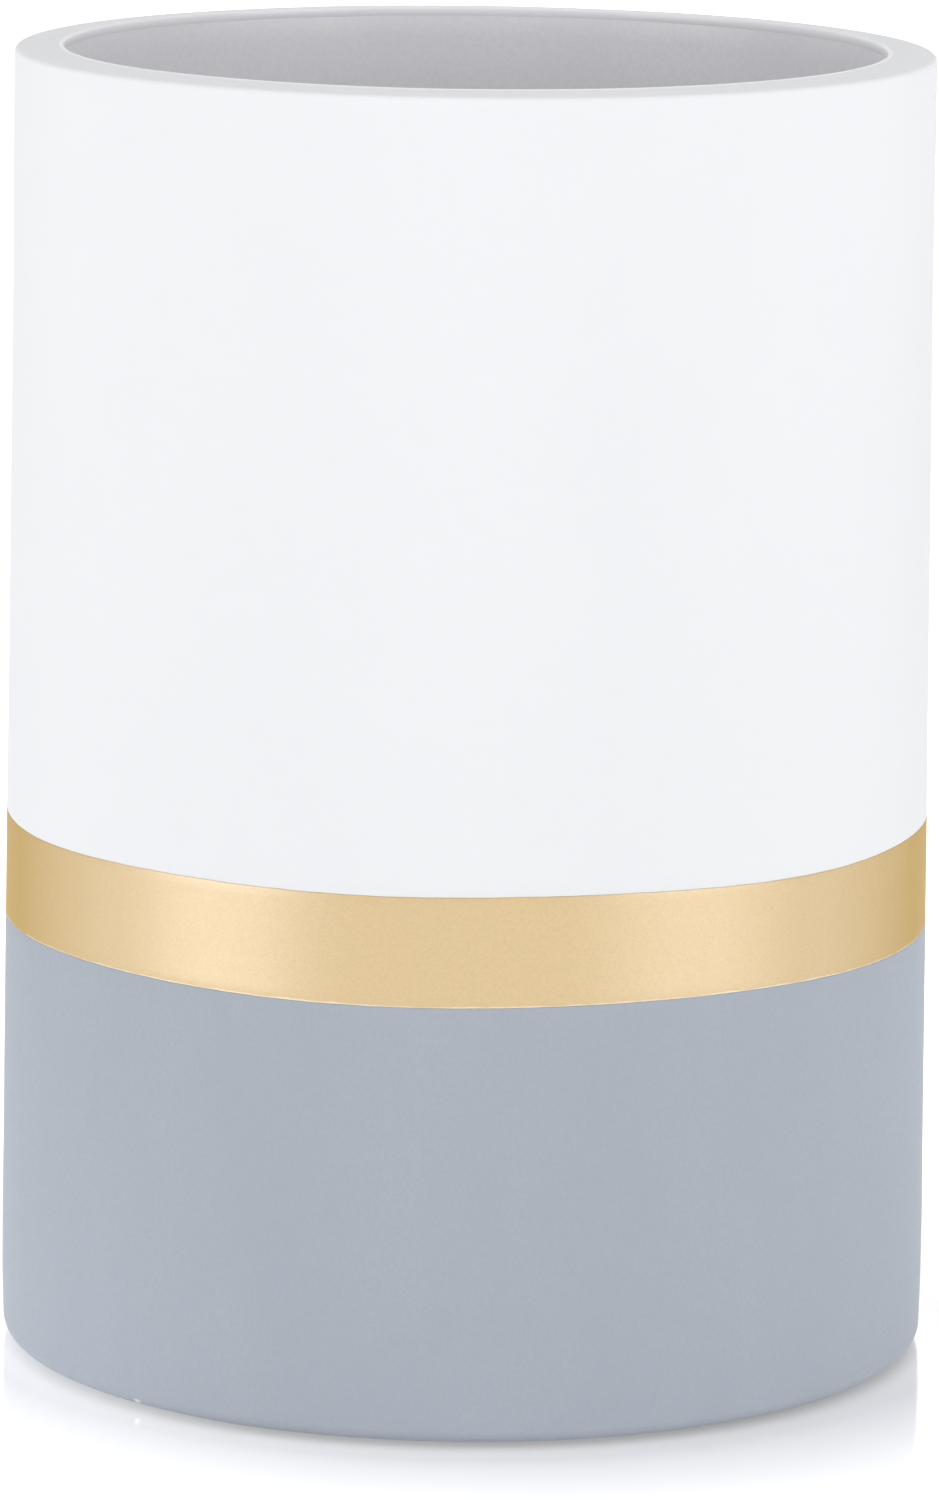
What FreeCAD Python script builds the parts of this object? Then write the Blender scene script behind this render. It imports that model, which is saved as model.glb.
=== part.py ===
import FreeCAD, Part
import math
import os

# Bathroom tumbler: a thick-walled cup, cast in filled resin, with a flush finish in three colours.
# Millimetres. +Z is up, and the origin is the centre of the surface that the cup stands on.

# Outside of the finished cup
cup_height = 106.0
rim_diameter = 74.0
base_diameter = 76.2
rim_outer_round = 0.9
rim_inner_round = 0.5
base_edge_round = 1.2

# Wall and floor of the finished cup
rim_wall = 3.9
base_wall = 5.8
floor_thickness = 7.0
bore_corner_round = 5.0

# Coats on the casting
coat_thickness = 0.4
lining_thickness = 0.3
lining_drop = 0.8
band_bottom_height = 35.0
band_width = 8.7

# Pad under the base, and the adhesive film that holds it in its recess
underside_land = 7.6
pad_clearance = 0.5
pad_thickness = 1.2
adhesive_thickness = 0.15
pad_proud = 0.4

# How far a cutting shape runs past what it cuts
overrun = 1.0

# Heights above the surface that the cup stands on
underside_z = pad_proud
rim_z = underside_z + cup_height
bore_floor_z = underside_z + floor_thickness
band_bottom_z = underside_z + band_bottom_height
band_top_z = band_bottom_z + band_width
lining_top_z = rim_z - lining_drop
recess_top_z = pad_thickness + adhesive_thickness

# Radii and slopes of the two conical walls. A slope is the change of radius for each unit of height.
rim_radius = rim_diameter / 2
base_radius = base_diameter / 2
recess_radius = base_radius - underside_land
pad_radius = recess_radius - pad_clearance
outer_slope = (rim_radius - base_radius) / cup_height
bore_rim_radius = rim_radius - rim_wall
bore_floor_radius = base_radius + outer_slope * floor_thickness - base_wall
bore_slope = (bore_rim_radius - bore_floor_radius) / (rim_z - bore_floor_z)
widest_radius = max(rim_radius, base_radius)


def outer_radius(height, inset):
    # Radius of the outer wall at a height, moved inwards, square to the wall, by an inset.
    return base_radius + outer_slope * (height - underside_z) - inset * math.hypot(1, outer_slope)


def bore_radius(height, inset):
    # Radius of the bore at a height, moved outwards into the wall by an inset.
    return bore_floor_radius + bore_slope * (height - bore_floor_z) + inset * math.hypot(1, bore_slope)


def middle_radius(height):
    # Halfway through the wall at a height.
    return (outer_radius(height, 0) + bore_radius(height, 0)) / 2


def rounding_points(last, corner, after, rounding):
    # Where the arc that rounds a corner starts, its middle, and where it ends. They meet in a sharp corner.
    if rounding <= 0:
        return corner, corner, corner
    to_last = (last - corner).normalize()
    to_next = (after - corner).normalize()
    half_angle = to_last.getAngle(to_next) / 2
    reach = rounding / math.tan(half_angle)
    depth = rounding / math.sin(half_angle) - rounding
    inward = (to_last + to_next).normalize()
    return corner + to_last * reach, corner + inward * depth, corner + to_next * reach


def rounded_outline(corners):
    # Closed outline in the XZ plane through (radius, height, rounding) corners.
    points = [FreeCAD.Vector(radius, 0, height) for radius, height, rounding in corners]
    arcs = []
    for index, (radius, height, rounding) in enumerate(corners):
        after = points[(index + 1) % len(points)]
        arcs.append(rounding_points(points[index - 1], points[index], after, rounding))
    edges = []
    for index, (start, middle, finish) in enumerate(arcs):
        next_start = arcs[(index + 1) % len(arcs)][0]
        if start != finish:
            edges.append(Part.Arc(start, middle, finish).toShape())
        edges.append(Part.LineSegment(finish, next_start).toShape())
    return Part.Wire(edges)


def turned(corners):
    # Solid of revolution about +Z from an outline's corners.
    axis_point = FreeCAD.Vector(0, 0, 0)
    axis = FreeCAD.Vector(0, 0, 1)
    return Part.Face(rounded_outline(corners)).revolve(axis_point, axis, 360)


def disc(radius, low, high):
    # Upright cylinder about +Z between two heights.
    return Part.makeCylinder(radius, high - low, FreeCAD.Vector(0, 0, low))


def cup_solid(outer_inset, bore_inset):
    # The cup with its outside, rim and underside moved in by one inset, and its bore by another.
    # Its walls have an edge wherever two coats meet, so that a coat and the casting share whole faces.
    low = underside_z + outer_inset
    high = rim_z - outer_inset
    floor = bore_floor_z - bore_inset
    return turned([
        (0, low, 0),
        (outer_radius(low, outer_inset), low, base_edge_round - outer_inset),
        (outer_radius(band_bottom_z, outer_inset), band_bottom_z, 0),
        (outer_radius(band_top_z, outer_inset), band_top_z, 0),
        (outer_radius(high, outer_inset), high, rim_outer_round - outer_inset),
        (bore_radius(high, bore_inset), high, rim_inner_round - outer_inset),
        (bore_radius(lining_top_z, bore_inset), lining_top_z, 0),
        (bore_radius(floor, bore_inset), floor, bore_corner_round + bore_inset),
        (0, floor, 0),
    ])


def pad_recess():
    # Shallow round recess in the underside.
    return disc(recess_radius, underside_z - overrun, recess_top_z)


def bore_side():
    # The space inside the middle of the wall, from half the floor's thickness up to the lining's edge.
    low = underside_z + floor_thickness / 2
    return turned([
        (0, low, 0),
        (middle_radius(low), low, 0),
        (middle_radius(lining_top_z), lining_top_z, 0),
        (0, lining_top_z, 0),
    ])


def coat_between(low, high):
    # The part of the outer coat that lies between two heights.
    return all_coats.cut(bore_side()).common(disc(widest_radius + overrun, low, high))


def cast_cup():
    return bare_casting.cut(pad_recess())


def white_coat():
    # From the band up, over the rim and just into the bore.
    return coat_between(band_top_z, rim_z + overrun)


def gold_band():
    return coat_between(band_bottom_z, band_top_z)


def grey_coat():
    # From the band down, round the base edge and under the base as far as the recess.
    return coat_between(underside_z - overrun, band_bottom_z).cut(pad_recess())


def bore_lining():
    return all_coats.common(bore_side())


def pad_adhesive():
    return disc(pad_radius, pad_thickness, recess_top_z)


def base_pad():
    return disc(pad_radius, 0, pad_thickness)


bare_casting = cup_solid(coat_thickness, lining_thickness)
all_coats = cup_solid(0, 0).cut(bare_casting)

nodes = {
    "cast_cup": cast_cup(),
    "white_coat": white_coat(),
    "gold_band": gold_band(),
    "grey_coat": grey_coat(),
    "bore_lining": bore_lining(),
    "pad_adhesive": pad_adhesive(),
    "base_pad": base_pad(),
}

os.makedirs("parts", exist_ok=True)
for name, shape in nodes.items():
    shape.exportStep("parts/" + name + ".step")
    box = shape.optimalBoundingBox()
    spans = f"x {box.XLength:.2f}, z {box.ZMin:.2f} to {box.ZMax:.2f}"
    print(f"{name}: {len(shape.Solids)} solid, {shape.Volume:.0f} cubic mm, {spans}, valid {shape.isValid()}")
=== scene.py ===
import bpy
import math
from mathutils import Matrix, Vector


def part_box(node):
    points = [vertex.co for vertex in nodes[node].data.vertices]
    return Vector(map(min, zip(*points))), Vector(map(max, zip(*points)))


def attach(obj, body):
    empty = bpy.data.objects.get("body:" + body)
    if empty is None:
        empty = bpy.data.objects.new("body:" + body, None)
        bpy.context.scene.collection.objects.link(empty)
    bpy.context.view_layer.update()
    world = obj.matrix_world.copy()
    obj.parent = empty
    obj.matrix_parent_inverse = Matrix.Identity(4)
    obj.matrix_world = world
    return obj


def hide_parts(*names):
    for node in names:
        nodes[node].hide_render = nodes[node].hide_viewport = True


# Bathroom tumbler: looks for a cast cup with a white wall, a gold band, a grey foot and a foam pad.
# Metres. +Z is up, the mouth is at the top and the camera looks along +Y.

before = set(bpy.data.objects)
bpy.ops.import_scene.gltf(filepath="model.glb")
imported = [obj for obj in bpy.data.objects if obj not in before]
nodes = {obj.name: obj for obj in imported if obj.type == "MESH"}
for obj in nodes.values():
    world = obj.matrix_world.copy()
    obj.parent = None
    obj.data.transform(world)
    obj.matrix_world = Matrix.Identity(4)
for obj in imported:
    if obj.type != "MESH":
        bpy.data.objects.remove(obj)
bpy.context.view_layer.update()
mm = 0.001
print("frame loaded:", len(nodes), "nodes")

# Heights and radii that the frame gives
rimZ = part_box("white_coat")[1].z
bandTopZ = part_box("gold_band")[1].z
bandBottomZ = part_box("gold_band")[0].z
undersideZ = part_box("grey_coat")[0].z
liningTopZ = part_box("bore_lining")[1].z
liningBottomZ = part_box("bore_lining")[0].z
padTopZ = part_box("base_pad")[1].z
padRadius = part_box("base_pad")[1].x

# The cup's own sizes, as it was cast and coated
cup = {
    "rimDiameter": 74.0 * mm,
    "baseDiameter": 76.2 * mm,
    "rimWall": 3.9 * mm,
    "baseWall": 5.8 * mm,
    "baseEdgeRound": 1.2 * mm,
    "boreCornerRound": 5.0 * mm,
    "coatThickness": 0.4 * mm,
    "liningThickness": 0.3 * mm,
    "undersideLand": 7.6 * mm,  # how wide the ring round the pad's recess is
}
coat, lining = cup["coatThickness"], cup["liningThickness"]
baseRadius = cup["baseDiameter"] / 2
boreFloorZ = liningBottomZ + lining
recessRadius = baseRadius - cup["undersideLand"]
outerSlope = (cup["rimDiameter"] - cup["baseDiameter"]) / 2 / (rimZ - undersideZ)
boreRimRadius = cup["rimDiameter"] / 2 - cup["rimWall"]
boreFloorRadius = baseRadius + outerSlope * (boreFloorZ - undersideZ) - cup["baseWall"]
boreSlope = (boreRimRadius - boreFloorRadius) / (rimZ - boreFloorZ)


def outerRadius(height, inset=0.0):
    # the outer wall at a height, moved in square to the wall
    return baseRadius + outerSlope * (height - undersideZ) - inset * math.hypot(1, outerSlope)


def boreRadius(height, inset=0.0):
    # the bore at a height, moved out into the wall
    return boreFloorRadius + boreSlope * (height - boreFloorZ) + inset * math.hypot(1, boreSlope)


# Small helpers for node trees

def addNode(tree, kind, **settings):
    node = tree.nodes.new(kind)
    for key, value in settings.items():
        setattr(node, key, value)
    return node


def feed(tree, socket, value):
    # a socket takes either another node's output or a plain value
    if isinstance(value, bpy.types.NodeSocket):
        tree.links.new(value, socket)
    else:
        socket.default_value = value


def calc(tree, operation, first, second=None):
    node = addNode(tree, "ShaderNodeMath", operation=operation)
    feed(tree, node.inputs[0], first)
    if second is not None:
        feed(tree, node.inputs[1], second)
    return node.outputs[0]


def times(tree, first, second):
    return calc(tree, "MULTIPLY", first, second)


def vectorCalc(tree, operation, first, second=None):
    node = addNode(tree, "ShaderNodeVectorMath", operation=operation)
    feed(tree, node.inputs[0], first)
    if second is not None:
        feed(tree, node.inputs["Scale" if operation == "SCALE" else 1], second)
    return node.outputs["Value" if operation in ("LENGTH", "DISTANCE") else 0]


def splitXyz(tree, vector):
    node = addNode(tree, "ShaderNodeSeparateXYZ")
    feed(tree, node.inputs[0], vector)
    return node.outputs


def joinXyz(tree, *parts):
    node = addNode(tree, "ShaderNodeCombineXYZ")
    for socket, part in zip(node.inputs, parts):
        feed(tree, socket, part)
    return node.outputs[0]


def remap(tree, value, fromLow, fromHigh, toLow=0.0, toHigh=1.0, smooth=False):
    node = addNode(tree, "ShaderNodeMapRange", clamp=True)
    node.interpolation_type = "SMOOTHSTEP" if smooth else "LINEAR"
    for socket, given in zip(node.inputs, (value, fromLow, fromHigh, toLow, toHigh)):
        feed(tree, socket, given)
    return node.outputs[0]


def blendColour(tree, share, first, second):
    # a Mix node has its colours on inputs 6 and 7 and on output 2
    node = addNode(tree, "ShaderNodeMix", data_type="RGBA")
    feed(tree, node.inputs[0], share)
    feed(tree, node.inputs[6], first)
    feed(tree, node.inputs[7], second)
    return node.outputs[2]


def overlay(tree, base, mask, share, colour):
    # a colour over the base where the mask is 1, at a share of its full strength
    return blendColour(tree, times(tree, mask, share), base, colour)


# Noises, named for how they look, and the parts of a noise's values that count
fineNoise = {"detail": 2.0, "roughness": 0.6}
cloudNoise = {"detail": 3.0, "roughness": 0.55}
smoothNoise = {"detail": 1.0, "roughness": 0.4}
noiseSpan = (0.3, 0.7)  # nearly all of its values
gritSpan = (0.35, 0.65)  # narrower, so that more of it is fully light or dark


def noiseAt(tree, place, scale, detail=2.0, roughness=0.5, seed=0.0):
    node = addNode(tree, "ShaderNodeTexNoise", noise_dimensions="4D")
    feed(tree, node.inputs["Vector"], place)
    feed(tree, node.inputs["W"], seed)
    feed(tree, node.inputs["Scale"], scale)
    feed(tree, node.inputs["Detail"], detail)
    feed(tree, node.inputs["Roughness"], roughness)
    return node.outputs[0]


def scaleFor(tree, size):
    # the scale that gives a texture features of this size
    return calc(tree, "DIVIDE", 1.0, size)


def objectPlace(tree):
    return addNode(tree, "ShaderNodeTexCoord").outputs["Object"]


def paintHeight(tree):
    # the height that a place on a coat had before its masked edges were made to waver
    return addNode(tree, "ShaderNodeAttribute", attribute_name="paintHeight").outputs["Fac"]


def newGroup(name, kind, inputs, outputs, outputKind="NodeSocketFloat"):
    # a node group; an input has a first value, or only the kind of its socket
    group = bpy.data.node_groups.new(name, kind)
    for socketName, value in inputs.items():
        socketKind = {int: "NodeSocketInt", float: "NodeSocketFloat"}.get(type(value), value)
        socket = group.interface.new_socket(name=socketName, in_out="INPUT", socket_type=socketKind)
        if value != socketKind:
            socket.default_value = value
    for socketName in outputs:
        group.interface.new_socket(name=socketName, in_out="OUTPUT", socket_type=outputKind)
    return group, addNode(group, "NodeGroupInput").outputs, addNode(group, "NodeGroupOutput").inputs


def titleWords(name):
    # grainSize stands for the input Grain Size
    return "".join(" " + letter if letter.isupper() else letter for letter in name).title()


# Effects that several finishes share

def makePaintGrain():
    # fine grain, soft mottle and the height of grain and peel, over the piece's own coordinates
    grainInHeight, peelInHeight = 0.3, 0.7
    group, given, made = newGroup("paintGrain", "ShaderNodeTree", {
        "Grain Size": 0.3 * mm,
        "Mottle Size": 14 * mm,
        "Stretch": 1.0,
        "Peel Size": 1.2 * mm,
        "Seed": 0.0,
    }, ("Grain", "Mottle", "Height"))
    place, seed = objectPlace(group), given["Seed"]
    x, y, z = splitXyz(group, place)
    upright = joinXyz(group, x, y, calc(group, "DIVIDE", z, given["Stretch"]))
    grain = noiseAt(group, place, scaleFor(group, given["Grain Size"]), seed=seed, **fineNoise)
    mottle = noiseAt(group, upright, scaleFor(group, given["Mottle Size"]), seed=seed, **cloudNoise)
    peel = noiseAt(group, place, scaleFor(group, given["Peel Size"]), seed=seed, **smoothNoise)
    height = calc(group, "ADD", times(group, grain, grainInHeight),
                  times(group, peel, peelInHeight))
    feed(group, made["Grain"], grain)
    feed(group, made["Mottle"], remap(group, mottle, *noiseSpan))
    feed(group, made["Height"], height)
    return group


def makePinholes():
    # a few small round marks, such as pinholes, nibs of dust and flecks in the casting
    sizeSpan = (0.5, 1.3)  # smallest and largest mark, as shares of Dot Size
    rimSpan = (0.7, 1.3)  # where a mark starts to fade and where it ends, as shares of its radius
    group, given, made = newGroup("pinholes", "ShaderNodeTree", {
        "Spacing": 5 * mm,
        "Dot Size": 0.12 * mm,
        "Share": 0.3,
        "Seed": 0.0,
    }, ("Dot",))
    cells = addNode(group, "ShaderNodeTexVoronoi", voronoi_dimensions="4D", feature="F1")
    feed(group, cells.inputs["Vector"], objectPlace(group))
    feed(group, cells.inputs["W"], given["Seed"])
    feed(group, cells.inputs["Scale"], scaleFor(group, given["Spacing"]))
    reach = times(group, cells.outputs["Distance"], given["Spacing"])
    chance = addNode(group, "ShaderNodeSeparateColor")
    feed(group, chance.inputs[0], cells.outputs["Color"])
    chosen = calc(group, "LESS_THAN", chance.outputs[0], given["Share"])
    size = times(group, given["Dot Size"], remap(group, chance.outputs[1], 0.0, 1.0, *sizeSpan))
    dot = remap(group, calc(group, "DIVIDE", reach, size), *rimSpan, 1.0, 0.0, smooth=True)
    feed(group, made["Dot"], times(group, dot, chosen))
    return group


def makePaintLine():
    # a thin broken line along a masked edge, at a height that the coat keeps as an attribute
    patchSpan, widthSpan = (0.35, 0.7), (0.35, 1.4)  # noise, and the shares of Width that it gives
    rimSpan = (0.4, 1.2)  # where the line starts to fade and where it ends, in widths
    group, given, made = newGroup("paintLine", "ShaderNodeTree", {
        "Edge Height": bandTopZ,
        "Width": 0.12 * mm,
        "Patch Size": 3 * mm,
        "Seed": 0.0,
    }, ("Line",))
    away = calc(group, "SUBTRACT", paintHeight(group), given["Edge Height"])
    patch = noiseAt(group, objectPlace(group), scaleFor(group, given["Patch Size"]),
                    seed=given["Seed"], **fineNoise)
    width = times(group, given["Width"], remap(group, patch, *patchSpan, *widthSpan))
    awayInWidths = calc(group, "DIVIDE", calc(group, "ABSOLUTE", away), width)
    feed(group, made["Line"], remap(group, awayInWidths, *rimSpan, 1.0, 0.0, smooth=True))
    return group


paintGrain = makePaintGrain()
pinholes = makePinholes()
paintLine = makePaintLine()


def placeGroup(tree, group, **values):
    # a shared effect with a material's own values
    node = addNode(tree, "ShaderNodeGroup")
    node.node_tree = group
    for key, value in values.items():
        feed(tree, node.inputs[titleWords(key)], value)
    return node.outputs


def newFinish(name, constants):
    # a material and its Principled shader, with what doesn't change over the surface
    material = bpy.data.materials.new(name)
    material.use_nodes = True
    tree = material.node_tree
    shader = tree.nodes["Principled BSDF"]
    for key, value in constants.items():
        shader.inputs[key].default_value = value
    return material, tree, shader


def dressShader(tree, shader, base, roughness, height, depth):
    # colour, roughness and relief, where a height of 1 stands for the depth
    feed(tree, shader.inputs["Base Color"], base)
    feed(tree, shader.inputs["Roughness"], roughness)
    bump = addNode(tree, "ShaderNodeBump")
    bump.inputs["Strength"].default_value = 1.0
    bump.inputs["Distance"].default_value = depth
    feed(tree, bump.inputs["Height"], height)
    feed(tree, shader.inputs["Normal"], bump.outputs[0])


# White lacquer: matt to satin, clean and slightly cool, with a faint peel
# The bead on the rim's inner edge is glossier; below it, inside the bore, the colour goes to
# painted shade

whiteLook = {
    "colour": (0.880, 0.888, 0.908, 1),
    "shade": (0.865, 0.876, 0.898, 1),
    "roughness": (0.50, 0.60),
    "specular": 0.07,
    "peelDepth": 0.010 * mm,
    "grain": {"grainSize": 0.35 * mm, "mottleSize": 18 * mm, "stretch": 2.0, "peelSize": 1.4 * mm,
              "seed": 1.0},
    "nib": {"spacing": 9 * mm, "dotSize": 0.09 * mm, "share": 0.25, "seed": 2.0},
    "nibColour": (0.5, 0.49, 0.47, 1),
    "nibStrength": 0.12,
    "nibHeight": 0.8,
    "line": {"width": 0.07 * mm, "patchSize": 4 * mm, "seed": 3.0},
    "goldTouch": (0.80, 0.72, 0.55, 1),  # a little gold that crept under the masking tape
    "touchStrength": 0.35,
    "insideSpan": (0.3 * mm, 0.5 * mm),  # outside the bore's radius at the rim
    # painted shade: the bore's greyer tone, which the white coat takes below the bead
    "paintedBoreShade": (0.750, 0.744, 0.770, 1),
    "beadToShadeTop": 0.10 * mm,
    "beadToShadeEnd": 0.75 * mm,
    "beadCoat": 0.5,
    "beadRoughness": 0.12,
}


def makeWhiteFinish():
    look = whiteLook
    material, tree, shader = newFinish("whiteLacquer", {
        "Specular IOR Level": look["specular"], "Coat Roughness": look["beadRoughness"]})
    grain = placeGroup(tree, paintGrain, **look["grain"])
    nib = placeGroup(tree, pinholes, **look["nib"])["Dot"]
    line = placeGroup(tree, paintLine, edgeHeight=bandTopZ, **look["line"])["Line"]
    base = blendColour(tree, grain["Mottle"], look["colour"], look["shade"])
    base = overlay(tree, base, nib, look["nibStrength"], look["nibColour"])
    base = overlay(tree, base, line, look["touchStrength"], look["goldTouch"])
    flatPlace = vectorCalc(tree, "MULTIPLY", objectPlace(tree), (1, 1, 0))
    insideFull, insideEnd = (boreRimRadius + out for out in look["insideSpan"])
    inside = remap(tree, vectorCalc(tree, "LENGTH", flatPlace), insideFull, insideEnd, 1.0, 0.0)
    # below the bead, inside the bore, the colour fades to the painted shade of the bore
    beadToShadeEndZ, beadToShadeTopZ = rimZ - look["beadToShadeEnd"], rimZ - look["beadToShadeTop"]
    bead = remap(tree, paintHeight(tree), beadToShadeEndZ, beadToShadeTopZ, smooth=True)
    paintedBoreShade = times(tree, inside, calc(tree, "SUBTRACT", 1.0, bead))
    base = blendColour(tree, paintedBoreShade, base, look["paintedBoreShade"])
    gloss = times(tree, times(tree, inside, bead), look["beadCoat"])
    feed(tree, shader.inputs["Coat Weight"], gloss)
    roughness = remap(tree, grain["Grain"], *noiseSpan, *look["roughness"])
    height = calc(tree, "ADD", grain["Height"], times(tree, nib, look["nibHeight"]))
    dressShader(tree, shader, base, roughness, height, look["peelDepth"])
    return material


# Gold lacquer: gold pigment with a slight grit, under a pearl of metal flake too fine to see singly
# The pearl is a coat, and both it and the metal give way where the band turns from the eye

goldLook = {
    "colour": (0.517, 0.332, 0.065, 1),
    "deep": (0.481, 0.309, 0.058, 1),
    "gritShare": 0.7,  # how much of the change between the two is grit; the rest is mottle
    "metallic": (0.80, 0.55),  # facing the eye, and turned from it
    "roughness": (0.72, 0.78),
    "specular": 0.1,
    "grazingTint": (0.05, 0.05, 0.06, 1),
    "pearlIor": 2.6,
    "pearlRoughness": 0.40,
    "pearlShare": (1.0, 0.95),  # between and on the grit
    "pearlTurn": (0.40, 0.76),  # how far turned from the eye the pearl starts and ends to fade
    "pearlAtEdge": 0.35,
    "peelDepth": 0.010 * mm,
    "grain": {"grainSize": 0.18 * mm, "mottleSize": 7 * mm, "stretch": 3.0, "peelSize": 0.9 * mm,
              "seed": 5.0},
    "topLine": {"width": 0.13 * mm, "patchSize": 5 * mm, "seed": 6.0},
    "edgeBrown": (0.330, 0.250, 0.150, 1),
    "brownStrength": 0.55,
    "lowLine": {"width": 0.16 * mm, "patchSize": 2.5 * mm, "seed": 7.0},
    "edgePale": (0.880, 0.800, 0.620, 1),
    "paleStrength": 0.5,
}


def makeGoldFinish():
    look = goldLook
    material, tree, shader = newFinish("goldLacquer", {
        "Specular IOR Level": look["specular"], "Specular Tint": look["grazingTint"],
        "Coat Roughness": look["pearlRoughness"], "Coat IOR": look["pearlIor"]})
    grain = placeGroup(tree, paintGrain, **look["grain"])
    topLine = placeGroup(tree, paintLine, edgeHeight=bandTopZ, **look["topLine"])["Line"]
    lowLine = placeGroup(tree, paintLine, edgeHeight=bandBottomZ, **look["lowLine"])["Line"]
    grit = remap(tree, grain["Grain"], *gritSpan)
    mottle = times(tree, grain["Mottle"], 1 - look["gritShare"])
    deep = calc(tree, "ADD", mottle, times(tree, grit, look["gritShare"]))
    base = blendColour(tree, deep, look["colour"], look["deep"])
    base = overlay(tree, base, topLine, look["brownStrength"], look["edgeBrown"])
    base = overlay(tree, base, lowLine, look["paleStrength"], look["edgePale"])
    facing = addNode(tree, "ShaderNodeLayerWeight").outputs["Facing"]
    pearl = times(tree, remap(tree, facing, *look["pearlTurn"], 1.0, look["pearlAtEdge"]),
                  remap(tree, grit, 0.0, 1.0, *look["pearlShare"]))
    metallic = remap(tree, facing, *look["pearlTurn"], *look["metallic"])
    feed(tree, shader.inputs["Coat Weight"], pearl)
    feed(tree, shader.inputs["Metallic"], metallic)
    roughness = remap(tree, grit, 0.0, 1.0, *look["roughness"])
    dressShader(tree, shader, base, roughness, grain["Height"], look["peelDepth"])
    return material


# Blue-grey lacquer: matt and chalky, with faint upright streaks from the spray and one small chip

greyLook = {
    "colour": (0.432, 0.470, 0.528, 1),
    "shade": (0.416, 0.452, 0.511, 1),
    "dust": (0.399, 0.433, 0.491, 1),
    "dustStrength": 0.7,
    "roughness": (0.46, 0.60),
    "specular": 0.1,
    "peelDepth": 0.012 * mm,
    "grain": {"grainSize": 0.3 * mm, "mottleSize": 7 * mm, "stretch": 3.0, "peelSize": 1.1 * mm,
              "seed": 9.0},
    "nib": {"spacing": 7 * mm, "dotSize": 0.10 * mm, "share": 0.3, "seed": 10.0},
    "nibColour": (0.62, 0.65, 0.69, 1),
    "nibStrength": 0.35,
    "nibHeight": 0.6,
    "line": {"width": 0.12 * mm, "patchSize": 3 * mm, "seed": 11.0},
    "goldTouch": (0.42, 0.38, 0.30, 1),
    "touchStrength": 0.45,
    "chip": (0.76, 0.76, 0.77, 1),
    "chipTurn": -43,  # degrees from the front, towards +X
    "chipRadius": 37.6 * mm,
    "chipHeight": 0.85 * mm,
    "chipSize": 0.30 * mm,
    "chipEdge": (0.9, 1.1),  # where it starts to fade and where it ends, as shares of its size
    "chipRagSize": 0.3 * mm,
    "chipRag": (0.7, 1.5),
}


def makeGreyFinish():
    look = greyLook
    material, tree, shader = newFinish("greyLacquer", {"Specular IOR Level": look["specular"]})
    grain = placeGroup(tree, paintGrain, **look["grain"])
    nib = placeGroup(tree, pinholes, **look["nib"])["Dot"]
    line = placeGroup(tree, paintLine, edgeHeight=bandBottomZ, **look["line"])["Line"]
    base = blendColour(tree, grain["Mottle"], look["colour"], look["shade"])
    dust = remap(tree, grain["Grain"], *gritSpan, 0.0, look["dustStrength"])
    base = blendColour(tree, dust, base, look["dust"])
    base = overlay(tree, base, nib, look["nibStrength"], look["nibColour"])
    base = overlay(tree, base, line, look["touchStrength"], look["goldTouch"])
    turn, out = math.radians(look["chipTurn"]), look["chipRadius"]
    chipPlace = (out * math.sin(turn), -out * math.cos(turn), look["chipHeight"])
    place = objectPlace(tree)
    rag = remap(tree, noiseAt(tree, place, 1 / look["chipRagSize"]), *noiseSpan, *look["chipRag"])
    fromChip = times(tree, vectorCalc(tree, "DISTANCE", place, chipPlace), rag)
    chipFull, chipEnd = (look["chipSize"] * share for share in look["chipEdge"])
    base = blendColour(tree, remap(tree, fromChip, chipFull, chipEnd, 1.0, 0.0), base, look["chip"])
    roughness = remap(tree, grain["Grain"], *noiseSpan, *look["roughness"])
    height = calc(tree, "ADD", grain["Height"], times(tree, nib, look["nibHeight"]))
    dressShader(tree, shader, base, roughness, height, look["peelDepth"])
    return material


# Bore lacquer, poured round and left to run off, with soft upright curtains, in colours greyer than
# the white wall's: painted shade

boreLook = {
    # painted shade: these colours are greyer than the white wall's, for the dim inside of the cup
    "colour": (0.767, 0.762, 0.789, 1),
    "shade": (0.734, 0.729, 0.756, 1),
    "dust": (0.699, 0.694, 0.723, 1),
    "dustStrength": 0.7,
    "roughness": (0.36, 0.50),
    "specular": 0.45,
    "peelDepth": 0.02 * mm,
    "grain": {"grainSize": 0.4 * mm, "mottleSize": 9 * mm, "stretch": 3.0, "peelSize": 2.2 * mm,
              "seed": 13.0},
    "nib": {"spacing": 6 * mm, "dotSize": 0.14 * mm, "share": 0.3, "seed": 14.0},
    "nibColour": (0.45, 0.44, 0.42, 1),
    "nibStrength": 0.25,
}


def makeBoreFinish():
    look = boreLook
    material, tree, shader = newFinish("boreLacquer", {"Specular IOR Level": look["specular"]})
    grain = placeGroup(tree, paintGrain, **look["grain"])
    nib = placeGroup(tree, pinholes, **look["nib"])["Dot"]
    base = blendColour(tree, grain["Mottle"], look["colour"], look["shade"])
    dust = remap(tree, grain["Grain"], *gritSpan, 0.0, look["dustStrength"])
    base = blendColour(tree, dust, base, look["dust"])
    base = overlay(tree, base, nib, look["nibStrength"], look["nibColour"])
    roughness = remap(tree, grain["Mottle"], 0.0, 1.0, *look["roughness"])
    dressShader(tree, shader, base, roughness, grain["Height"], look["peelDepth"])
    return material


# Bare casting: pale filled resin with mineral flecks and pinholes

resinLook = {
    "colour": (0.84, 0.83, 0.80, 1),
    "shade": (0.78, 0.765, 0.73, 1),
    "roughness": (0.72, 0.90),
    "specular": 0.25,
    "peelDepth": 0.03 * mm,
    "grain": {"grainSize": 0.2 * mm, "mottleSize": 6 * mm, "stretch": 1.0, "peelSize": 0.8 * mm,
              "seed": 17.0},
    "fleck": {"spacing": 1.1 * mm, "dotSize": 0.10 * mm, "share": 0.5, "seed": 18.0},
    "fleckColour": (0.45, 0.43, 0.40, 1),
    "fleckStrength": 0.6,
    "fleckDepth": 0.7,
}


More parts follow.
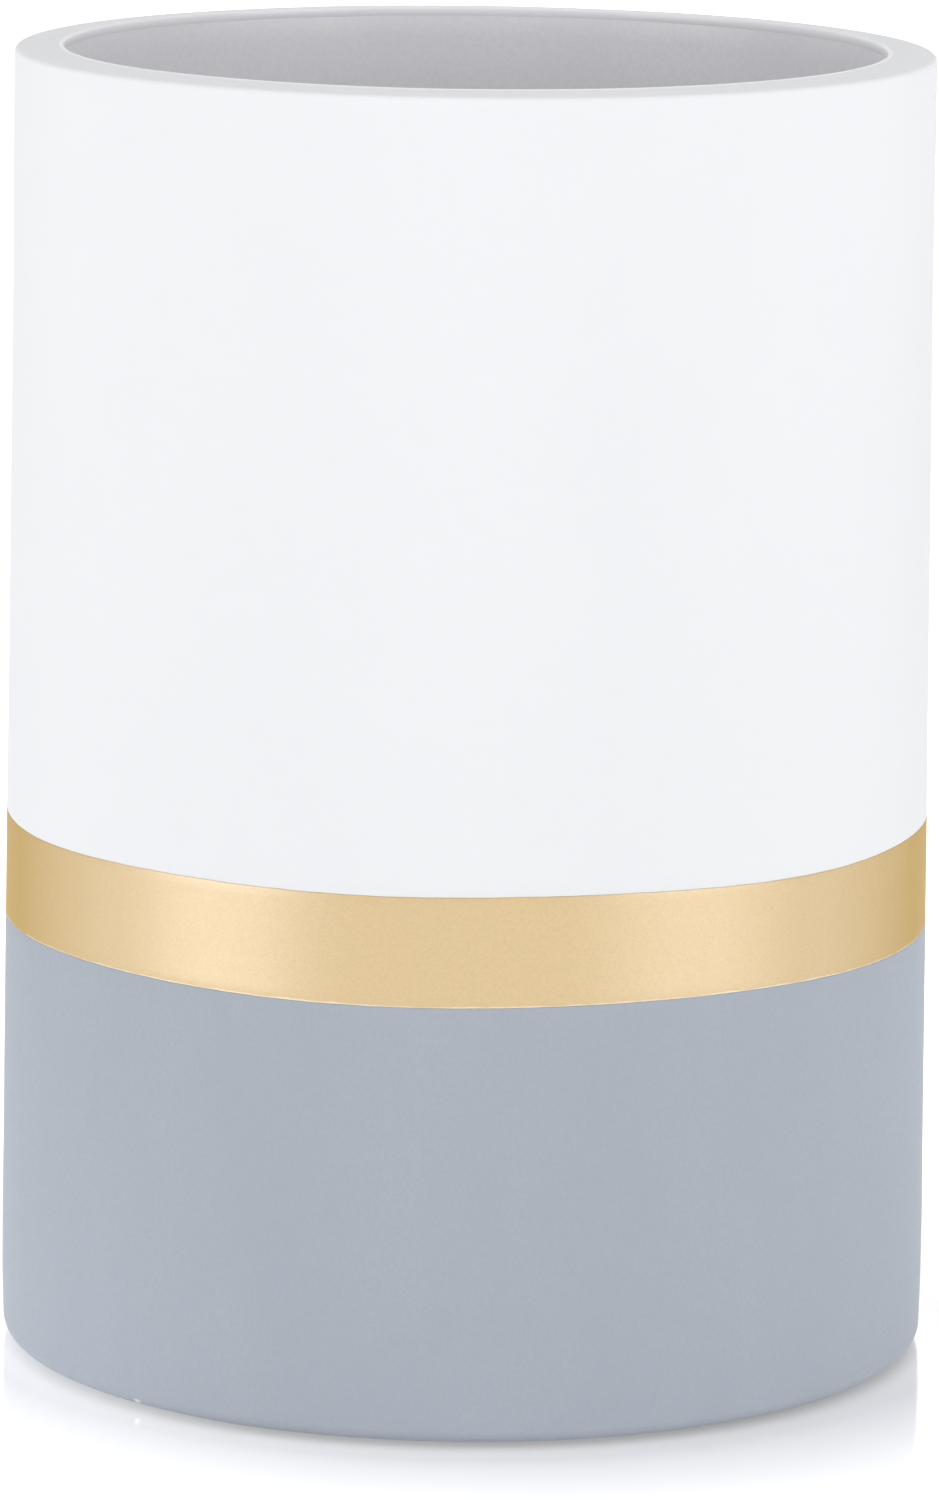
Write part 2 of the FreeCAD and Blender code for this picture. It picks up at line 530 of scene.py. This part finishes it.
def makeResinFinish():
    look = resinLook
    material, tree, shader = newFinish("castResin", {"Specular IOR Level": look["specular"]})
    grain = placeGroup(tree, paintGrain, **look["grain"])
    fleck = placeGroup(tree, pinholes, **look["fleck"])["Dot"]
    base = blendColour(tree, grain["Mottle"], look["colour"], look["shade"])
    base = overlay(tree, base, fleck, look["fleckStrength"], look["fleckColour"])
    roughness = remap(tree, grain["Grain"], *noiseSpan, *look["roughness"])
    height = calc(tree, "SUBTRACT", grain["Height"], times(tree, fleck, look["fleckDepth"]))
    dressShader(tree, shader, base, roughness, height, look["peelDepth"])
    return material


# Adhesive film: yellowish, half glossy, with small trapped bubbles

adhesiveLook = {
    "colour": (0.85, 0.83, 0.76, 1),
    "shade": (0.80, 0.77, 0.67, 1),
    "roughness": (0.25, 0.40),
    "specular": 0.5,
    "grain": {"grainSize": 0.25 * mm, "mottleSize": 5 * mm, "stretch": 1.0, "peelSize": 0.6 * mm,
              "seed": 21.0},
    "bubble": {"spacing": 2.5 * mm, "dotSize": 0.4 * mm, "share": 0.4, "seed": 22.0},
    "bubbleColour": (0.90, 0.89, 0.86, 1),
    "bubbleStrength": 0.4,
    "bubbleDepth": 0.02 * mm,
}


def makeAdhesiveFinish():
    look = adhesiveLook
    material, tree, shader = newFinish("adhesiveFilm", {"Specular IOR Level": look["specular"]})
    grain = placeGroup(tree, paintGrain, **look["grain"])
    bubble = placeGroup(tree, pinholes, **look["bubble"])["Dot"]
    base = blendColour(tree, grain["Mottle"], look["colour"], look["shade"])
    base = overlay(tree, base, bubble, look["bubbleStrength"], look["bubbleColour"])
    roughness = remap(tree, grain["Grain"], *noiseSpan, *look["roughness"])
    dressShader(tree, shader, base, roughness, bubble, look["bubbleDepth"])
    return material


# Foam rubber: off-white, with fine closed cells, whose pits are painted darker as shade

foamLook = {
    "colour": (0.78, 0.78, 0.76, 1),
    "shade": (0.73, 0.72, 0.69, 1),
    "roughness": (0.85, 0.97),
    "specular": 0.3,
    "grain": {"grainSize": 0.15 * mm, "mottleSize": 8 * mm, "stretch": 1.0, "peelSize": 0.7 * mm,
              "seed": 25.0},
    "cellSize": 0.35 * mm,
    "cellEdge": 0.18,  # how far the wall between two cells reaches, as a share of a cell
    # painted shade: the darker colour in the cells' pits
    "paintedCellShade": (0.60, 0.60, 0.58, 1),
    "cellShadeStrength": 0.35,
    "cellDepth": 0.06 * mm,
}


def makeFoamFinish():
    look = foamLook
    material, tree, shader = newFinish("foamRubber", {"Specular IOR Level": look["specular"]})
    grain = placeGroup(tree, paintGrain, **look["grain"])
    cells = addNode(tree, "ShaderNodeTexVoronoi", feature="DISTANCE_TO_EDGE")
    feed(tree, cells.inputs["Vector"], objectPlace(tree))
    feed(tree, cells.inputs["Scale"], 1 / look["cellSize"])
    cell = remap(tree, cells.outputs["Distance"], 0.0, look["cellEdge"], smooth=True)
    base = blendColour(tree, grain["Mottle"], look["colour"], look["shade"])
    base = overlay(tree, base, cell, look["cellShadeStrength"], look["paintedCellShade"])
    roughness = remap(tree, grain["Grain"], *noiseSpan, *look["roughness"])
    height = calc(tree, "SUBTRACT", grain["Grain"], cell)
    dressShader(tree, shader, base, roughness, height, look["cellDepth"])
    return material


finishes = {
    "white": makeWhiteFinish(),
    "gold": makeGoldFinish(),
    "grey": makeGreyFinish(),
    "bore": makeBoreFinish(),
    "resin": makeResinFinish(),
    "adhesive": makeAdhesiveFinish(),
    "foam": makeFoamFinish(),
}
print("finishes made:", len(finishes))


# Turned skin: an outline spun round the axis, with hand-finished ripple and hand-masked paint edges

turned = {
    "segments": 512,
    "step": 1.5 * mm,  # longest edge along a straight run of the outline
    "arcStep": 0.12 * mm,  # about how long an edge of a rounded corner is
    "fewestArcEdges": 3,
    "creaseDegrees": 50,
    "mergeDistance": 0.001 * mm,
    "rippleSpan": (0.25, 0.75),  # of the noise that the ripple follows
}
maskEdges = {
    # a wave: how often it comes round the cup, its height, and its phase at the front in degrees
    "upper": {"rise": 0.024 * mm, "layer": 0.0,
              "waves": ((4, 0.066 * mm, 109), (6, 0.099 * mm, -19))},
    "lower": {"rise": 0.049 * mm, "layer": 7.0,
              "waves": ((3, 0.087 * mm, 162), (4, 0.171 * mm, -26))},
    "nibbleHeight": 0.12 * mm,
    "nibbles": 14.0,  # the scale of their noise, on a ring of radius 1
    "reach": 3 * mm,  # how far up and down from the edge the coats follow its waver
}


def edgeWaver(tree, given, side, fromFront, ring, height):
    # how far a masked edge runs above its true circle: a rise, two slow waves and small nibbles
    edge = maskEdges[side.lower()]
    drift = given[side + " Rise"]
    for waves, high, phase in edge["waves"]:
        angle = calc(tree, "ADD", times(tree, fromFront, waves), math.radians(phase))
        wave = times(tree, times(tree, calc(tree, "SINE", angle), high), given["Wave Share"])
        drift = calc(tree, "ADD", drift, wave)
    spot = joinXyz(tree, *ring, edge["layer"])
    nibble = calc(tree, "SUBTRACT", noiseAt(tree, spot, maskEdges["nibbles"], **fineNoise), 0.5)
    drift = calc(tree, "ADD", drift, times(tree, nibble, given["Nibble Height"]))
    away = calc(tree, "ABSOLUTE", calc(tree, "SUBTRACT", height, given[side + " Edge"]))
    near = remap(tree, away, 0.0, given["Waver Reach"], 1.0, 0.0, smooth=True)
    return times(tree, drift, near)


def namedValue(tree, name):
    node = addNode(tree, "GeometryNodeInputNamedAttribute", data_type="FLOAT")
    node.inputs["Name"].default_value = name
    return node.outputs[0]


def makeTurningTree():
    tree, given, made = newGroup("turnedSkin", "GeometryNodeTree", {
        "Outline": "NodeSocketGeometry",
        "Segments": turned["segments"],
        "Ripple Depth": 0.03 * mm,
        "Ripple Size": 15 * mm,
        "Upper Edge": bandTopZ,
        "Lower Edge": bandBottomZ,
        "Upper Rise": maskEdges["upper"]["rise"],
        "Lower Rise": maskEdges["lower"]["rise"],
        "Wave Share": 1.0,
        "Nibble Height": maskEdges["nibbleHeight"],
        "Waver Reach": maskEdges["reach"],
        "Seed": 0.0,
        "Crease Angle": math.radians(turned["creaseDegrees"]),
        "Finish": "NodeSocketMaterial",
    }, ("Skin",), "NodeSocketGeometry")

    # a grid with a row for each point of the outline, and one column more than the segments
    size = addNode(tree, "GeometryNodeAttributeDomainSize", component="MESH")
    feed(tree, size.inputs["Geometry"], given["Outline"])
    rows = size.outputs["Point Count"]
    grid = addNode(tree, "GeometryNodeMeshGrid")
    feed(tree, grid.inputs["Vertices X"], calc(tree, "ADD", given["Segments"], 1))
    feed(tree, grid.inputs["Vertices Y"], rows)
    index = addNode(tree, "GeometryNodeInputIndex").outputs[0]
    column = calc(tree, "FLOOR", calc(tree, "DIVIDE", calc(tree, "ADD", index, 0.5), rows))
    row = calc(tree, "ROUND", calc(tree, "SUBTRACT", index, times(tree, column, rows)))

    def sampled(kind, value):
        # what the outline says at this vertex's row
        node = addNode(tree, "GeometryNodeSampleIndex", data_type=kind, domain="POINT")
        feed(tree, node.inputs["Geometry"], given["Outline"])
        feed(tree, node.inputs["Value"], value)
        feed(tree, node.inputs["Index"], row)
        return node.outputs[0]

    # each vertex goes round the axis, at its row's radius and height
    outlinePlace = addNode(tree, "GeometryNodeInputPosition").outputs[0]
    radius, _, height = splitXyz(tree, sampled("FLOAT_VECTOR", outlinePlace))
    shown = sampled("FLOAT", namedValue(tree, "shown"))
    turn = calc(tree, "DIVIDE", times(tree, column, math.tau), given["Segments"])
    cosine, sine = calc(tree, "COSINE", turn), calc(tree, "SINE", turn)
    fromFront = calc(tree, "ADD", turn, math.pi / 2)
    waver = calc(tree, "ADD", edgeWaver(tree, given, "Upper", fromFront, (cosine, sine), height),
                 edgeWaver(tree, given, "Lower", fromFront, (cosine, sine), height))
    spun = addNode(tree, "GeometryNodeSetPosition")
    feed(tree, spun.inputs["Geometry"], grid.outputs["Mesh"])
    feed(tree, spun.inputs["Position"], joinXyz(tree, times(tree, radius, cosine),
                                                times(tree, radius, sine),
                                                calc(tree, "ADD", height, waver)))

    # the paint lines and the ripple read these later; then the seam and the poles are closed
    skin = spun.outputs[0]
    for name, value in (("paintHeight", height), ("shown", shown)):
        store = addNode(tree, "GeometryNodeStoreNamedAttribute", data_type="FLOAT", domain="POINT")
        store.inputs["Name"].default_value = name
        feed(tree, store.inputs["Geometry"], skin)
        feed(tree, store.inputs["Value"], value)
        skin = store.outputs[0]
    closed = addNode(tree, "GeometryNodeMergeByDistance")
    feed(tree, closed.inputs["Geometry"], skin)
    feed(tree, closed.inputs["Distance"], turned["mergeDistance"])

    # ripple only takes material off, and only where it is seen, so the skin keeps within its size
    here = addNode(tree, "GeometryNodeInputPosition").outputs[0]
    swell = noiseAt(tree, here, scaleFor(tree, given["Ripple Size"]),
                    seed=given["Seed"], **smoothNoise)
    depth = times(tree, remap(tree, swell, *turned["rippleSpan"]), given["Ripple Depth"])
    inward = times(tree, times(tree, depth, namedValue(tree, "shown")), -1.0)
    outward = addNode(tree, "GeometryNodeInputNormal").outputs[0]
    rippled = addNode(tree, "GeometryNodeSetPosition")
    feed(tree, rippled.inputs["Geometry"], closed.outputs["Geometry"])
    feed(tree, rippled.inputs["Offset"], vectorCalc(tree, "SCALE", outward, inward))

    # smooth shading with sharp creases, and the finish
    smooth = addNode(tree, "GeometryNodeSetShadeSmooth", domain="FACE")
    feed(tree, smooth.inputs["Geometry"], rippled.outputs[0])
    creased = addNode(tree, "GeometryNodeSetShadeSmooth", domain="EDGE")
    feed(tree, creased.inputs["Geometry"], smooth.outputs[0])
    bend = addNode(tree, "GeometryNodeInputMeshEdgeAngle").outputs["Unsigned Angle"]
    feed(tree, creased.inputs["Selection"], calc(tree, "GREATER_THAN", bend, given["Crease Angle"]))
    creased.inputs["Shade Smooth"].default_value = False
    solid = addNode(tree, "GeometryNodeRealizeInstances")
    feed(tree, solid.inputs["Geometry"], creased.outputs[0])
    painted = addNode(tree, "GeometryNodeSetMaterial")
    feed(tree, painted.inputs["Geometry"], solid.outputs[0])
    feed(tree, painted.inputs["Material"], given["Finish"])
    feed(tree, made["Skin"], painted.outputs[0])
    return tree


turningTree = makeTurningTree()


def cornerPoints(last, here, after, rounding, arcStep):
    # the arc that rounds a corner, or the corner itself where it is sharp
    if not rounding:
        return [here]
    toLast, toNext = (last - here).normalized(), (after - here).normalized()
    half = toLast.angle(toNext) / 2
    centre = here + (toLast + toNext).normalized() * rounding / math.sin(half)
    start = here + toLast * rounding / math.tan(half) - centre
    finish = here + toNext * rounding / math.tan(half) - centre
    edges = max(turned["fewestArcEdges"], round(rounding * (math.pi - 2 * half) / arcStep))
    return [centre + start.slerp(finish, k / edges).normalized() * rounding
            for k in range(edges + 1)]


def runShown(corners, spots, place):
    # whether the run of the outline that a place lies on is seen
    def awayFrom(index):
        start = spots[index]
        along = spots[(index + 1) % len(spots)] - start
        share = min(1, max(0, (place - start).dot(along) / along.length_squared))
        return (start + along * share - place).length

    return corners[min(range(len(corners)), key=awayFrom)][3]


def roundedOutline(corners, step, arcStep):
    # Points along an outline of (radius, height, rounding, shown) corners, going anticlockwise.
    # shown says if the run from a corner to the next is seen: 1, or 0 where it is on the casting.
    # An outline that starts on the axis ends there, and any other one closes on itself.
    onAxis = corners[0][0] == 0
    spots = [Vector((radius, 0, height)) for radius, height, rounding, shown in corners]
    points = []
    for index, (radius, height, rounding, shown) in enumerate(corners):
        isEnd = onAxis and index in (0, len(corners) - 1)
        seen = shown if isEnd else min(corners[index - 1][3], shown)
        after = spots[(index + 1) % len(corners)]
        for spot in cornerPoints(spots[index - 1], spots[index], after, rounding, arcStep):
            points.append((spot, seen))
    if not onAxis:
        points.append(points[0])
    line = []
    for (spot, seen), (nextSpot, _) in zip(points, points[1:]):
        line.append((spot, seen))
        between = runShown(corners, spots, (spot + nextSpot) / 2)
        parts = math.ceil((nextSpot - spot).length / step)
        line += [(spot.lerp(nextSpot, k / parts), between) for k in range(1, parts)]
    return line + points[-1:]


def turnSkin(name, corners, finish, step=turned["step"], arcStep=turned["arcStep"], **inputs):
    # spins an outline with the tree above and keeps the result as a plain mesh
    line = roundedOutline(corners, step, arcStep)
    mesh = bpy.data.meshes.new(name)
    mesh.from_pydata([spot for spot, seen in line], [(k, k + 1) for k in range(len(line) - 1)], [])
    shown = mesh.attributes.new("shown", "FLOAT", "POINT")
    shown.data.foreach_set("value", [seen for spot, seen in line])
    piece = bpy.data.objects.new(name, mesh)
    bpy.context.scene.collection.objects.link(piece)
    turning = piece.modifiers.new("turning", "NODES")
    turning.node_group = turningTree
    sockets = {item.name: item.identifier for item in turningTree.interface.items_tree
               if item.in_out == "INPUT"}
    turning[sockets["Finish"]] = finish
    for key, value in inputs.items():
        turning[sockets[titleWords(key)]] = value
    piece.update_tag()
    depsgraph = bpy.context.evaluated_depsgraph_get()
    baked = bpy.data.meshes.new_from_object(piece.evaluated_get(depsgraph), depsgraph=depsgraph,
                                            preserve_all_data_layers=True)
    piece.modifiers.remove(turning)
    piece.data = baked
    baked.name = name
    print("turned", name, "with", len(baked.polygons), "faces")
    return piece


def ridePiece(piece, node):
    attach(piece, "root")
    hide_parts(node)


# White wall, over the rim and a little way into the bore
# The rim's flat has a bead of lacquer on its inner edge, and falls in a slight crown to its outer

whiteWall = {
    "edgeRound": 0.03 * mm,
    "jointRound": 0.015 * mm,
    "rimOuterRound": 0.40 * mm,
    "rimInnerRound": 0.25 * mm,
    "crown": 0.22 * mm,
    "crownShares": (1.0, 0.8, 0.6, 0.4, 0.2),  # of the way from the bead to the rim's outer edge
    "beadRise": 0.08 * mm,
    "beadWidth": 0.45 * mm,
    "flare": 0.11 * mm,
    "flareStart": 18 * mm,  # below the rim
    "flareFull": 6 * mm,
    "skin": {"rippleDepth": 0.035 * mm, "rippleSize": 17 * mm, "seed": 4.0},
}
rimInside = rimZ - coat
rimFlatZ = rimZ - whiteWall["beadRise"]
flare = whiteWall["flare"]
flareStartZ, flareFullZ = rimZ - whiteWall["flareStart"], rimZ - whiteWall["flareFull"]
flareMiddleZ = (flareStartZ + flareFullZ) / 2
crownInner, crownOuter = boreRadius(rimZ) + whiteWall["beadWidth"], outerRadius(rimZ) + flare
crownPoints = [
    (crownInner + (crownOuter - crownInner) * share, rimFlatZ - whiteWall["crown"] * share ** 2)
    for share in whiteWall["crownShares"]]
whiteSkin = turnSkin("white_wall", [
    (outerRadius(bandTopZ), bandTopZ, whiteWall["edgeRound"], 1),
    (outerRadius(flareStartZ), flareStartZ, 0, 1),
    (outerRadius(flareMiddleZ) + flare / 2, flareMiddleZ, 0, 1),
    (outerRadius(flareFullZ) + flare, flareFullZ, 0, 1),
    (*crownPoints[0], whiteWall["rimOuterRound"], 1),
    *((*point, 0, 1) for point in crownPoints[1:]),
    (crownInner, rimFlatZ, whiteWall["edgeRound"], 1),
    (crownInner - whiteWall["beadRise"], rimZ, whiteWall["edgeRound"], 1),
    (boreRadius(rimZ), rimZ, whiteWall["rimInnerRound"], 1),
    (boreRadius(liningTopZ), liningTopZ, whiteWall["jointRound"], 0),
    (boreRadius(liningTopZ, lining), liningTopZ, 0, 0),
    (boreRadius(rimInside, lining), rimInside, 0, 0),
    (outerRadius(rimInside, coat), rimInside, 0, 0),
    (outerRadius(bandTopZ, coat), bandTopZ, 0, 0),
], finishes["white"], **whiteWall["skin"])
ridePiece(whiteSkin, "white_coat")

# Gold band, masked by hand between the white and the grey

goldBand = {
    "edgeRound": 0.05 * mm,
    "skin": {"step": 0.8 * mm, "rippleDepth": 0.03 * mm, "rippleSize": 9 * mm, "seed": 4.0},
}
goldSkin = turnSkin("gold_stripe", [
    (outerRadius(bandBottomZ), bandBottomZ, goldBand["edgeRound"], 1),
    (outerRadius(bandTopZ), bandTopZ, goldBand["edgeRound"], 0),
    (outerRadius(bandTopZ, coat), bandTopZ, 0, 0),
    (outerRadius(bandBottomZ, coat), bandBottomZ, 0, 0),
], finishes["gold"], **goldBand["skin"])
ridePiece(goldSkin, "gold_band")

# Grey foot, round the base edge and under the cup as far as the recess
# The wall tucks in towards the base, a quarter of it by the middle of the tuck

greyFoot = {
    "edgeRound": 0.05 * mm,
    "tuck": 0.22 * mm,
    "tuckMiddleShare": 1 / 4,
    "tuckStart": 10 * mm,  # above the underside
    "recessEdgeRound": 0.15 * mm,
    "skin": {"rippleDepth": 0.035 * mm, "rippleSize": 14 * mm, "seed": 4.0},
}
footInside = undersideZ + coat
tuck = greyFoot["tuck"]
tuckStartZ = undersideZ + greyFoot["tuckStart"]
tuckMiddleZ = undersideZ + greyFoot["tuckStart"] / 2
greySkin = turnSkin("grey_foot", [
    (recessRadius, undersideZ, greyFoot["recessEdgeRound"], 1),
    (outerRadius(undersideZ) - tuck, undersideZ, cup["baseEdgeRound"], 1),
    (outerRadius(tuckMiddleZ) - tuck * greyFoot["tuckMiddleShare"], tuckMiddleZ, 0, 1),
    (outerRadius(tuckStartZ), tuckStartZ, 0, 1),
    (outerRadius(bandBottomZ), bandBottomZ, greyFoot["edgeRound"], 0),
    (outerRadius(bandBottomZ, coat), bandBottomZ, 0, 0),
    (outerRadius(footInside, coat) - tuck, footInside, cup["baseEdgeRound"] - coat, 0),
    (recessRadius, footInside, 0, 0),
], finishes["grey"], **greyFoot["skin"])
ridePiece(greySkin, "grey_coat")

# Lacquer in the bore, with a soft corner at its floor

boreSkin = {
    "edgeRound": 0.015 * mm,
    "skin": {"step": 1.8 * mm, "arcStep": 0.5 * mm, "segments": 384, "rippleDepth": 0.08 * mm,
             "rippleSize": 11 * mm, "seed": 8.0},
}
boreCoat = turnSkin("bore_lacquer", [
    (0, liningBottomZ, 0, 0),
    (boreRadius(liningBottomZ, lining), liningBottomZ, cup["boreCornerRound"] + lining, 0),
    (boreRadius(liningTopZ, lining), liningTopZ, 0, 0),
    (boreRadius(liningTopZ), liningTopZ, boreSkin["edgeRound"], 1),
    (boreRadius(boreFloorZ), boreFloorZ, cup["boreCornerRound"], 1),
    (0, boreFloorZ, 0, 1),
], finishes["bore"], **boreSkin["skin"])
ridePiece(boreCoat, "bore_lining")

# Foam pad under the cup, die-cut, with a slightly crushed edge

footPad = {
    "lowerRound": 0.35 * mm,
    "upperRound": 0.12 * mm,
    "skin": {"arcStep": 0.1 * mm, "segments": 384, "rippleDepth": 0.06 * mm, "rippleSize": 4 * mm,
             "seed": 12.0},
}
foamPad = turnSkin("foam_pad", [
    (0, 0, 0, 1),
    (padRadius, 0, footPad["lowerRound"], 1),
    (padRadius, padTopZ, footPad["upperRound"], 0),
    (0, padTopZ, 0, 0),
], finishes["foam"], **footPad["skin"])
ridePiece(foamPad, "base_pad")

# Casting and adhesive film keep their own shapes
for node, finish in (("cast_cup", "resin"), ("pad_adhesive", "adhesive")):
    nodes[node].data.materials.clear()
    nodes[node].data.materials.append(finishes[finish])
print("pieces made")


# Floor: glossy white board, with the cup's shadow and its fading reflection
# Its lift is the light that keeps it white to the eye, and its glow the weak bounce beside the foot

floorBoard = {
    "halfSide": 3.0,
    "bounce": (0.90, 0.90, 0.905, 1),  # its colour for what lights the cup
    "seen": (0.925, 0.895, 0.890, 1),  # its colour to the eye
    "mirror": 0.55,
    "roughness": 0.10,
    "specular": 0.5,
    "liftCentre": (5 * mm, 3 * mm, 0),
    "liftSpan": (17 * mm, 80 * mm),
    "lift": (0.0, 0.80),  # under the cup, and away from it
    "footSpan": (38.2 * mm, 41.0 * mm),
    "footLift": 0.10,
    "glowMiddle": 13 * mm,
    "glowAside": (30 * mm, 62 * mm),  # sideways from its middle, where it starts and is full
    "glowSpan": (42 * mm, 95 * mm),  # from the cup's axis, where it fades
    "glow": 0.4,
}


def seenDirectly(tree):
    # 1 for what the camera sees, straight, in a gloss or through glass; 0 for what lights the cup
    path = addNode(tree, "ShaderNodeLightPath")
    seen = calc(tree, "MAXIMUM", path.outputs["Is Camera Ray"], path.outputs["Is Glossy Ray"])
    return calc(tree, "MAXIMUM", seen, path.outputs["Is Transmission Ray"])


def makeFloor():
    board = floorBoard
    side = board["halfSide"]
    corners = [(-side, -side, 0), (side, -side, 0), (side, side, 0), (-side, side, 0)]
    mesh = bpy.data.meshes.new("floor_board")
    mesh.from_pydata(corners, [], [(0, 1, 2, 3)])
    item = bpy.data.objects.new("floor_board", mesh)
    bpy.context.scene.collection.objects.link(item)
    material, tree, shader = newFinish("floorGloss", {
        "Roughness": board["roughness"], "Specular IOR Level": board["specular"],
        "Emission Color": (1, 1, 1, 1)})
    place = objectPlace(tree)
    straight = addNode(tree, "ShaderNodeLightPath").outputs["Is Camera Ray"]
    fromCentre = vectorCalc(tree, "DISTANCE", place, board["liftCentre"])
    fromAxis = vectorCalc(tree, "LENGTH", place)
    lift = remap(tree, fromCentre, *board["liftSpan"], *board["lift"], smooth=True)
    footLift = remap(tree, fromAxis, *board["footSpan"], board["footLift"], 0.0, smooth=True)
    lift = remap(tree, straight, 0.0, 1.0, board["lift"][1], calc(tree, "ADD", lift, footLift))
    aside = calc(tree, "SUBTRACT", splitXyz(tree, place)[0], board["glowMiddle"])
    glow = times(tree, remap(tree, calc(tree, "ABSOLUTE", aside), *board["glowAside"]),
                 remap(tree, fromAxis, *board["glowSpan"], board["glow"], 0.0))
    feed(tree, shader.inputs["Emission Strength"],
         remap(tree, seenDirectly(tree), 0.0, 1.0, glow, lift))
    base = blendColour(tree, straight, board["bounce"], board["seen"])
    feed(tree, shader.inputs["Base Color"], base)
    feed(tree, shader.inputs["Metallic"], times(tree, straight, board["mirror"]))
    mesh.materials.append(material)


makeFloor()


# World: white to the eye and in reflections, softer as a fill light

studio = {"fill": 0.45, "white": 1.0}


def makeWorld():
    world = bpy.data.worlds.new("studio")
    bpy.context.scene.world = world
    world.use_nodes = True
    tree = world.node_tree
    background = tree.nodes["Background"]
    background.inputs["Color"].default_value = (1, 1, 1, 1)
    feed(tree, background.inputs["Strength"],
         remap(tree, seenDirectly(tree), 0.0, 1.0, studio["fill"], studio["white"]))


makeWorld()


# Soft boxes: one each side, one over the camera, and weak ones above and behind
# azimuth 0 is at the camera and 90 at +X; radiance is what a mirror would see
# glossy is off for a box that shows in no reflection and lights only what is matt

softBoxes = {
    "leftBox": {"azimuth": -61, "elevation": 14, "distance": 0.75,
                "width": 0.5, "height": 0.5, "radiance": 3.00, "glossy": True},
    "rightBox": {"azimuth": 56, "elevation": 18, "distance": 0.75,
                 "width": 0.5, "height": 0.5, "radiance": 3.02, "glossy": True},
    "frontBox": {"azimuth": 0, "elevation": 12, "distance": 0.75,
                 "width": 0.5, "height": 0.5, "radiance": 0.42, "glossy": True},
    "topBox": {"azimuth": 0, "elevation": 86, "distance": 0.75,
               "width": 0.6, "height": 0.6, "radiance": 0.40, "glossy": False},
    "backBox": {"azimuth": 180, "elevation": 30, "distance": 1.1,
                "width": 1.0, "height": 0.8, "radiance": 0.7, "glossy": False},
}


def makeSoftBox(name, box):
    lamp = bpy.data.lights.new(name, "AREA")
    lamp.shape = "RECTANGLE"
    lamp.size, lamp.size_y = box["width"], box["height"]
    lamp.energy = box["radiance"] * math.pi * box["width"] * box["height"]
    item = bpy.data.objects.new(name, lamp)
    item.visible_glossy = box["glossy"]
    bpy.context.scene.collection.objects.link(item)
    turn, rise = math.radians(box["azimuth"]), math.radians(box["elevation"])
    flat = math.cos(rise)
    away = Vector((math.sin(turn) * flat, -math.cos(turn) * flat, math.sin(rise)))
    middle = Vector((0, 0, rimZ / 2))
    item.location = middle + away * box["distance"]
    item.rotation_euler = (middle - item.location).to_track_quat("-Z", "Y").to_euler()


for name, box in softBoxes.items():
    makeSoftBox(name, box)


# Camera, as the photograph was taken: from in front and a little above

cameraView = {
    "distance": 640.4 * mm,
    "height": 170.1 * mm,
    "aimLeftDegrees": -0.0138,
    "downDegrees": 10.737,
    "rollDegrees": 0.687,
    "lens": 191.14,  # millimetres, as is the sensor's width
    "sensorWidth": 36,
    "clip": (0.01, 20),
}


def makeCamera():
    view = cameraView
    data = bpy.data.cameras.new("camera")
    item = bpy.data.objects.new("camera", data)
    bpy.context.scene.collection.objects.link(item)
    data.lens, data.sensor_width = view["lens"], view["sensorWidth"]
    data.clip_start, data.clip_end = view["clip"]
    turn = Matrix.Rotation(math.radians(view["aimLeftDegrees"]), 4, "Z")
    tilt = Matrix.Rotation(math.radians(90 - view["downDegrees"]), 4, "X")
    roll = Matrix.Rotation(math.radians(view["rollDegrees"]), 4, "Z")
    place = Matrix.Translation((0, -view["distance"], view["height"]))
    item.matrix_world = place @ turn @ tilt @ roll
    bpy.context.scene.camera = item


makeCamera()
bpy.context.scene.view_settings.view_transform = "Standard"
print("floor, lights and camera made")

bpy.context.view_layer.update()
